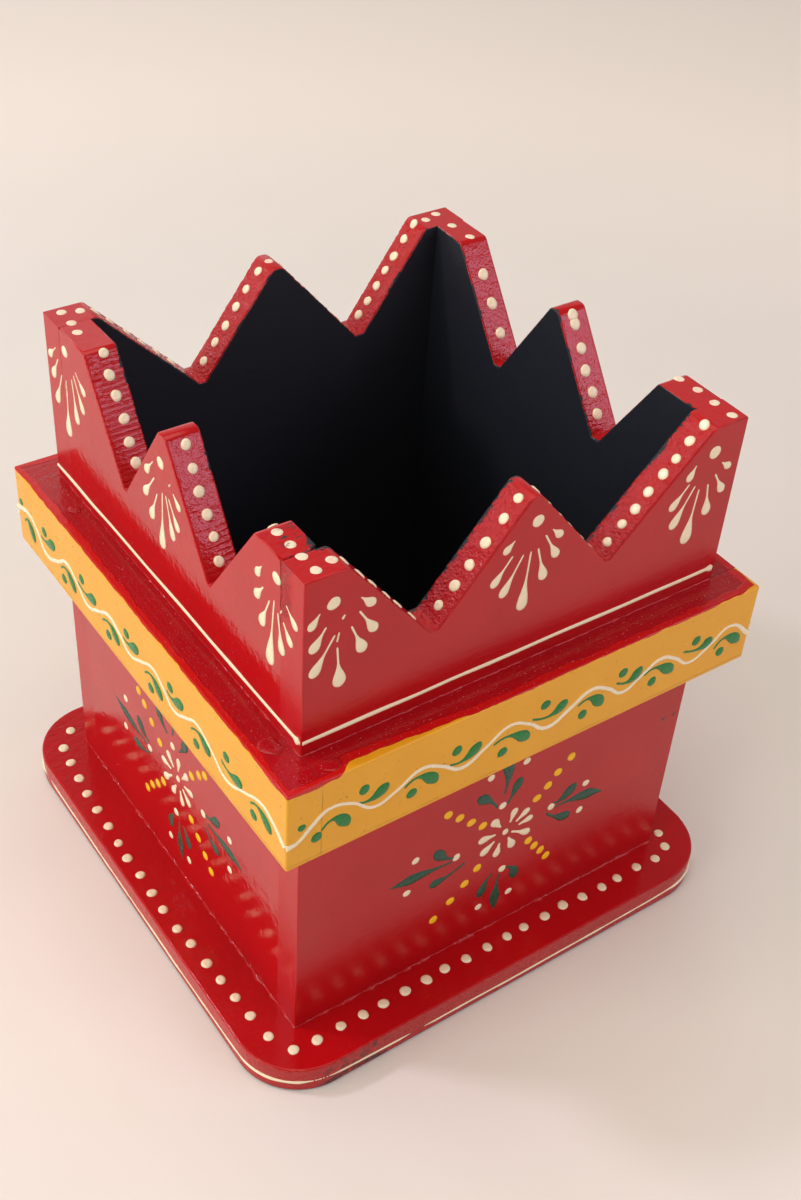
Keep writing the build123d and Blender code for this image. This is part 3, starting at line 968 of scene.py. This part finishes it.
front_curls = (
    ((-60, 120.5), (-64, 117.6), (-70, 119)), ((-25, 119.5), (-29, 116), (-35, 116.5)),
    ((9.2, 121), (5, 118), (-3, 120)), ((41.5, 120), (38.5, 117), (32.5, 118.8)),
    ((73, 119), (70, 117), (62, 119)),
    ((-73.5, 112.3), (-77, 116.4), (-82, 113.5)), ((-41, 113), (-46, 117.4), (-52, 115.3)),
    ((-5, 113), (-11, 117), (-18, 116)), ((26, 113), (22, 117.2), (16.5, 116)),
    ((57, 113), (51, 117.2), (45, 116)), ((88, 112.5), (82.6, 116.4), (77.5, 113)))
front_berries = ((-67, 123.2), (-32.6, 121.5), (2, 124), (34.8, 122.3), (67.5, 121.5), (-83.5, 111.8),
                 (-49, 111.6), (-13.8, 111), (19.2, 111.2), (49.5, 111.4), (81, 110.5), (-88.8, 119))
left_curls = (
    ((-64.9, 118.6), (-69.6, 116), (-75, 116)), ((-32.7, 116.9), (-38, 114.6), (-44.9, 116)),
    ((-1, 118.6), (-5.4, 116.2), (-10.4, 116.6)), ((29.6, 118.6), (25.4, 116), (20.3, 117.1)),
    ((66.6, 116.3), (62, 114.8), (55.7, 116.6)),
    ((-82.7, 109.9), (-85.6, 115), (-89.3, 113.2)), ((-49.3, 109.9), (-53.6, 114.4), (-59.3, 112.1)),
    ((-15.8, 110.7), (-20.2, 114.4), (-26.6, 112.1)), ((15.1, 110.4), (10.4, 114.5), (4.6, 112.3)),
    ((46.8, 112.1), (42.2, 115.4), (36.2, 113.2)), ((84, 111.8), (79, 115.4), (73.4, 113.2)))
left_berries = ((-71.6, 119.7), (-41.6, 119.3), (-7.7, 119.9), (22.9, 120.2), (59, 120.2), (-91, 120.7),
                (-57.1, 108.6), (-22.1, 108.6), (8.8, 108.6), (39.6, 109.3), (75.4, 109.7))
vines = {"front": (front_vine, front_curls, front_berries), "left": (left_vine, left_curls, left_berries)}
vines["back"], vines["right"] = vines["front"], vines["left"]


def make_vine(side):
    path, curls, berries = vines[side]
    plane = face_plane(side, band_half[side])
    stem = bmesh.new()
    shares = [1.5] + [hand.uniform(0.8, 1.15) for _ in path[2:]] + [1.4]
    stem.from_mesh(line("stem", [(u, v, share) for (u, v), share in zip(path, shares)], 0.8, plane))
    smooth(stem)
    make_piece(f"{side}_vine_stem", stem, cream)
    leaf = bmesh.new()
    for head, middle, end in curls:
        stroke(leaf, plane, (tip(head, middle, 2.1), middle, end), 2.6, height=0.5, tail=0.6)
    for u, v in berries:
        dot(leaf, plane, u, v, 2.1 if abs(u) < 88 else 1.5)
    make_piece(f"{side}_vine_leaves", leaf, green)


# ---- lines above the band

shelf_line = {"front": (139.8, 139.8), "right": (139.0, 139.6),
              "back": (139.6, 139.0), "left": (138.5, 139.5)}  # height at its start and its end


def make_shelf_line(side):
    """A cream line round the box just above the band, ending in a blob where the cone lifted."""
    start, end = shelf_line[side]
    reach = box_reach[side]
    steps = 12
    path = [(-reach + 0.4, start, 0.9)]
    for i in range(1, steps):
        share = i / steps
        height = start + (end - start) * share + hand.uniform(-0.18, 0.18)
        path.append((-reach + 2 * reach * share, height, hand.uniform(0.88, 1.12)))
    path += [(reach - 4, end, 1.0), (reach - 1.8, end, 1.9), (reach - 0.6, end, 0.6)]
    bm = bmesh.new()
    bm.from_mesh(line("shelf", path, 0.8, face_plane(side, box_half[side]), 0.6))
    smooth(bm)
    make_piece(f"{side}_shelf_line", bm, cream)


# ---- dots on the crown's rim


class Row(NamedTuple):
    """Dots down a slope: the first one's place, their spacing, their number, and their depth
    in the wall. The first may be squeezed down toward the second, and all may be larger."""

    first: float
    step: float
    count: int
    depth: float
    squeezed: float = 0.0
    larger: float = 0.0


rim_rows = {
    "front": (Row(3, 7.8, 6, 5.5), Row(2.8, 8.1, 6, 5.0), Row(3, 8, 6, 5.4), Row(0.9, 6.8, 8, 4.7)),
    "left": (Row(1.5, 7.3, 6, 6.6), Row(3.6, 7.3, 6, 6.0), Row(4.2, 7.2, 6, 6.2), Row(2.4, 7.6, 6, 6.2)),
    "back": (Row(1.2, 6.6, 7, 4.8), Row(3, 7.6, 6, 5.4), Row(3.9, 7.5, 6, 5.2), Row(3, 7.6, 6, 5.4)),
    "right": (Row(2.6, 7.6, 6, 6.2), Row(-2.0, 7.9, 6, 6.6, 4.1, 0.4), Row(3.4, 7.6, 6, 6.0),
              Row(13, 11, 3, 6.0, 0.0, 0.45)),
}


class Tower(NamedTuple):
    """Dots on a tower's flat top: a row that runs in from the corner, and perhaps one beside it."""

    x_side: int
    y_side: int
    inset: float
    step: float
    count: int
    beside: bool


towers = (Tower(-1, 1, 4.5, 7, 3, True), Tower(-1, -1, 5.5, 6.5, 4, True),
          Tower(1, 1, 6, 10, 3, True), Tower(1, -1, 4, 8, 4, False))
tower_dot_rise = 0.32


def slope_plane(side, top, bottom):
    """On a slope: u runs down it, and v into the wall from its outer face."""
    way = (bottom - top).normalized()
    normal = Vector((-way.y, way.x)) if way.x > 0 else Vector((way.y, -way.x))
    turn = Matrix(((way.x, way.y, 0), (0, 0, -1), (normal.x, normal.y, 0))).transposed().to_4x4()
    return face_plane(side, box_half[side]) @ Matrix.Translation((top.x, top.y, 0)) @ turn


def make_rim_dots(side):
    bm = bmesh.new()
    for row, (top, bottom) in zip(rim_rows[side], slopes(side)):
        plane = slope_plane(side, top, bottom)
        for i in range(row.count):
            along = row.first + row.step * i + hand.uniform(-0.5, 0.5) + (row.squeezed if i == 0 else 0)
            radius = row.larger + hand.uniform(1.72, 2.02)
            dot(bm, plane, along, row.depth + hand.uniform(-0.5, 0.5), radius, height=0.75)
    bmesh.ops.recalc_face_normals(bm, faces=bm.faces)
    make_piece(f"{side}_rim_dots", bm, cream)


def make_tower_dots():
    bm = bmesh.new()
    level = level_plane(rim_z)
    y = half_y - 4
    for tower in towers:
        x = half_x - tower.inset
        places = [(x + hand.uniform(-0.7, 0.7), y - tower.step * i + hand.uniform(-0.6, 0.6))
                  for i in range(tower.count)]
        if tower.beside:
            places.append((x - 6.5, y - 1.5))
        for across_top, into_top in places:
            dot(bm, level, tower.x_side * across_top, tower.y_side * into_top, 1.85, tower_dot_rise)
    dot(bm, level, -crowns["back"].peak_middle, box_half["back"] - 5.5, 1.6, tower_dot_rise)
    make_piece("tower_top_dots", bm, smeared_cream)


for side in across:
    make_wall(side)
for decorate in (make_fans, make_flower, make_vine, make_shelf_line, make_rim_dots):
    for side in across:
        decorate(side)
make_tower_dots()


# ---- foot board's paint


class FootRow(NamedTuple):
    """Dots along one side of the foot board: how far in the row's ends lie, how much further in
    its middle bows, where that middle is along the side, its half length, and how far the
    corner's dot lies in from the next side and from this one."""

    inset: float
    bow: float
    middle: float
    reach: float
    corner: tuple


foot_rows = {"front": FootRow(10.8, 0.6, 0.0, 77.2, (16.0, 13.3)),
             "right": FootRow(13.5, -4.2, -1.0, 80.0, (14.5, 12.5)),
             "back": FootRow(9.5, 1.0, -4.5, 74.5, (16.4, 11.2)),
             "left": FootRow(10.0, -4.9, -1.6, 81.7, (11.7, 14.5))}
foot_dots_each = 18
foot_dot_rise = 0.9


def make_foot_dots():
    """A row of dots round the foot board, a little bowed as the hand went along each side."""
    bm = bmesh.new()
    level = level_plane(foot_top)
    half_row = (foot_dots_each - 1) / 2
    for side, row in foot_rows.items():
        x, z = Vector(across[side]), Vector(outward[side])
        for i in range(foot_dots_each):
            share = (i - half_row) / half_row
            reach = foot_half - row.inset - row.bow * (1 - share ** 2)
            along = row.middle + share * row.reach + hand.uniform(-0.8, 0.8)
            place = x * along + z * (reach + hand.uniform(-0.5, 0.5))
            dot(bm, level, place.x, place.y, hand.uniform(1.9, 2.2), foot_dot_rise)
        along, inset = row.corner
        corner = x * (foot_half - along) + z * (foot_half - inset)
        dot(bm, level, corner.x, corner.y, 2.05, foot_dot_rise)
    make_piece("foot_dots", bm, cream)


make_foot_dots()

corner_radius = 24.5
straight = 2 * (foot_half - corner_radius)
leg = straight + corner_radius * math.pi / 2  # one side of the foot board and the corner after it
line_inset = 0.2  # the edge line's middle lies this far inside the board
edge_corner = 5.2  # height of the edge line at the board's corners
edge_middle = (3.8, 3.6, 3.8, 3.6)  # and where it sags on the left, the front, the right and the back
# Where the cone lost touch, from and to.
edge_skips = ((184.2, 184.8), (187, 187.6), (189.4, 189.9), (224, 230), (535, 539))


def foot_outline(along, height):
    """A point on the foot board's edge: along runs from the left side's back end round the front."""
    legs, rest = divmod(along, leg)
    reach = foot_half - corner_radius
    radius = corner_radius - line_inset
    if rest < straight:
        point = Vector((-reach - radius, reach - rest, height))
    else:
        angle = (rest - straight) / corner_radius
        point = Vector((-reach - radius * math.cos(angle), -reach - radius * math.sin(angle), height))
    return Matrix.Rotation(math.pi / 2 * legs, 3, "Z") @ point


def edge_height(along):
    """How high the line lies: it sags along each side and climbs round each corner."""
    legs, rest = divmod(along, leg)
    past = rest / straight
    sag = math.sin(math.pi * past) ** 0.5 if past < 1 else 0.0
    middle = edge_middle[int(legs) % 4]
    return edge_corner + (middle - edge_corner) * sag + 0.3 * waver(along * 0.05, 2.0, 0)


def make_edge_line():
    """A thin cream line drawn round the foot board's edge, broken where the cone skipped."""
    bm = bmesh.new()
    starts = [2.0] + [end for _, end in edge_skips]
    ends = [start for start, _ in edge_skips] + [4 * leg - 2.0]
    for start, end in zip(starts, ends):
        pieces = max(3, round((end - start) / 5))
        path = []
        for i in range(pieces + 1):
            along = start + (end - start) * i / pieces
            share = hand.uniform(0.65, 0.95) * (1.4 if along % leg > straight else 1.0)
            ending = 0.5 if i in (0, pieces) else min(1.0, (end - start) / 6)
            path.append((*foot_outline(along, edge_height(along)), share * ending))
        bm.from_mesh(bead("edge_run", path, 0.66, level_plane(0)))
    smooth(bm)
    make_piece("foot_edge_line", bm, cream)


make_edge_line()


# ---- paint gathered in the corners

foot_fillet = 1.25
shelf_fillet = 0.7
inside_board = -0.3  # a fillet's hidden faces lie this far in
drips = ((-87.5, -74, 3.8), (-76, -89.5, 3.2), (-86.5, 60, 2.2), (70, 88, 2.4))  # x, y and radius


def make_fillet(name, side, level, size):
    """Filler and paint gathered where a wall stands on a board: a thin uneven three-sided bead."""
    bm = bmesh.new()
    reach = box_reach[side]
    section = ((inside_board, inside_board), (size, inside_board), (size * 0.35, size * 0.35),
               (inside_board, size))
    start = bm.faces.new([bm.verts.new((-reach, v, out)) for v, out in section])
    push_out(bm, start, (2 * reach, 0, 0))
    runs = [e for e in bm.edges if e.calc_length() > reach]
    bmesh.ops.subdivide_edges(bm, edges=runs, cuts=int(reach * 2 / 0.9), use_grid_fill=True)
    seed = len(side) * 3.7 + level
    for vert in bm.verts:
        u = vert.co.x
        swell = 0.7 + 1.2 * waver(u * 0.22, seed, 0) + 0.9 * waver(u * 0.8, seed, vert.co.z)
        for axis in (1, 2):
            if vert.co[axis] > 0:
                vert.co[axis] *= max(0.15, swell)
    bmesh.ops.recalc_face_normals(bm, faces=bm.faces)
    smooth(bm)
    bm.transform(face_plane(side, box_half[side]) @ Matrix.Translation((0, level, 0)))
    make_piece(name, bm, wall_paint[side])


for side in across:
    make_fillet(f"{side}_foot_fillet", side, 0, foot_fillet)
    make_fillet(f"{side}_shelf_fillet", side, band_top, shelf_fillet)


def make_drips():
    """Drops of enamel that fell on the band's top and dried as low uneven lumps."""
    bm = bmesh.new()
    for x, y, radius in drips:
        verts = copy_form(bm, dot_form)
        turn = hand.uniform(0, math.tau)
        for vert in verts:
            spread, angle = polar(vert)
            wide = radius * (1 + 0.12 * math.cos(2 * angle + turn) + 0.07 * math.cos(3 * angle - turn))
            uneven = 1 + 0.5 * math.cos(angle + turn) * spread + 0.3 * math.cos(3 * angle) * spread
            lift = 0.34 * uneven * math.sqrt(max(0.0, 1 - spread ** 2.5)) if vert.co.z > 0.01 else 0
            vert.co = Vector((vert.co.x * wide + x, vert.co.y * wide + y, lift - 0.03))
        bmesh.ops.transform(bm, matrix=level_plane(foot_top + band_top), verts=verts)
    make_piece("shelf_drips", bm, band_paint["left"])


make_drips()


# ---- CAD pieces kept


def dress(node, material):
    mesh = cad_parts[node].data
    mesh.materials.clear()
    mesh.materials.append(material)


dress("base_board", red_foot)
for side in across:
    dress(f"{side}_band", band_paint[side])
    dress(f"{side}_band_brads", wire)
for side in full_width:
    dress(f"{side}_corner_brads", wire)
dress("base_screws", zinc)


# ---- stage


def make_floor():
    """A plain pale table under the planter, matt and faintly clouded, with painted light that whitens it away
    from the planter.
    """
    bm = bmesh.new()
    bmesh.ops.create_grid(bm, x_segments=1, y_segments=1, size=4)
    mesh = bpy.data.meshes.new("floor")
    bm.to_mesh(mesh)
    bm.free()
    r = Surface("matt_pale_board")
    body = r.cloudy(60.0, 3, "#E3E0D5", "#E9E6DB")
    # Painted light: the floor whitens from about 0.4 m to 0.78 m out from the middle.
    far = r.add(STEP, r.add(LENGTH, r.place), 0.40, 0.78)
    body = r.add(MIX, far, body, colour("#FCF3E6"))
    rough = r.add(TIMES_PLUS, r.noise(30.0, detail=2), 0.1, 0.5)
    mesh.materials.append(r.done(body, rough, [(r.noise(2.0), 0.02)]))
    floor = bpy.data.objects.new("floor", mesh)
    bpy.context.scene.collection.objects.link(floor)


make_floor()


def softbox(name, place, aim, size, power, tint):
    """A rectangle of light, with its place, its aim and its size in metres and its power in watts."""
    lamp = bpy.data.lights.new(name, "AREA")
    lamp.shape = "RECTANGLE"
    lamp.size, lamp.size_y = size
    lamp.energy = power
    lamp.color = colour(tint)[:3]
    holder = bpy.data.objects.new(name, lamp)
    bpy.context.scene.collection.objects.link(holder)
    holder.location = place
    holder.rotation_euler = (Vector(aim) - Vector(place)).to_track_quat("-Z", "Y").to_euler()


middle = (0, 0, 0.1)
crown_middle = (0, 0, 0.19)
softbox("window_left", (-2.4, 0.03, 1.0), middle, (2.1, 1.5), 34.5, "#FFFBF7")
softbox("overhead", (-0.2, 0.0, 1.7), middle, (1.4, 1.4), 11.3, "#FFF1DE")
softbox("window_right", (0.64, -1.03, 0.775), crown_middle, (0.9, 0.36), 4.3, "#F2D8FB")
softbox("window_back", (-0.9, 0.7, 1.2), crown_middle, (0.18, 0.18), 6.5, "#F6E6FF")


def make_world():
    """A dim room with one white wall at the back, which ends toward the left. Its ceiling is
    darker than its walls."""
    world = bpy.data.worlds.new("studio")
    r = Recipe(world, "Background", Color=colour("#FCF7F4"))
    way = r.add(PLACES, output="Generated")
    wall = r.add(STEP, r.add(TOWARD, way, (-0.454, 0.891, 0)), 0.39, 0.56, 0.36, 0.78)
    wall_end = r.add(STEP, r.add(SPLIT, way, output="X"), -0.55, -0.2, 0.4, 1.0)
    ceiling = r.add(STEP, r.add(SPLIT, way, output="Z"), 0.5, 0.72, 1.6, 0.75)
    lit = r.add(TIMES, r.add(TIMES, wall, wall_end), ceiling)
    r.tree.links.new(lit, r.shader.inputs["Strength"])
    return world


bpy.context.scene.world = make_world()
bpy.context.scene.view_settings.view_transform = "Standard"


# ---- camera

camera_place = Vector((-255.9, -355.4, 478.8)) * MM
camera_azimuth = math.radians(-37.07)
camera_elevation = math.radians(39.886)
camera_roll = math.radians(4.211)

backward = Vector((math.sin(camera_azimuth) * math.cos(camera_elevation),
                   -math.cos(camera_azimuth) * math.cos(camera_elevation), math.sin(camera_elevation)))
level_x = Vector((0, 0, 1)).cross(backward).normalized()
level_y = backward.cross(level_x)
right = level_x * math.cos(camera_roll) + level_y * math.sin(camera_roll)
up = level_y * math.cos(camera_roll) - level_x * math.sin(camera_roll)

lens = bpy.data.cameras.new("camera")
lens.sensor_fit = "VERTICAL"
lens.sensor_height = 36
lens.lens = 47.108
camera = bpy.data.objects.new("camera", lens)
camera.matrix_world = Matrix.Translation(camera_place) @ Matrix((right, up, backward)).transposed().to_4x4()
bpy.context.scene.collection.objects.link(camera)
bpy.context.scene.camera = camera
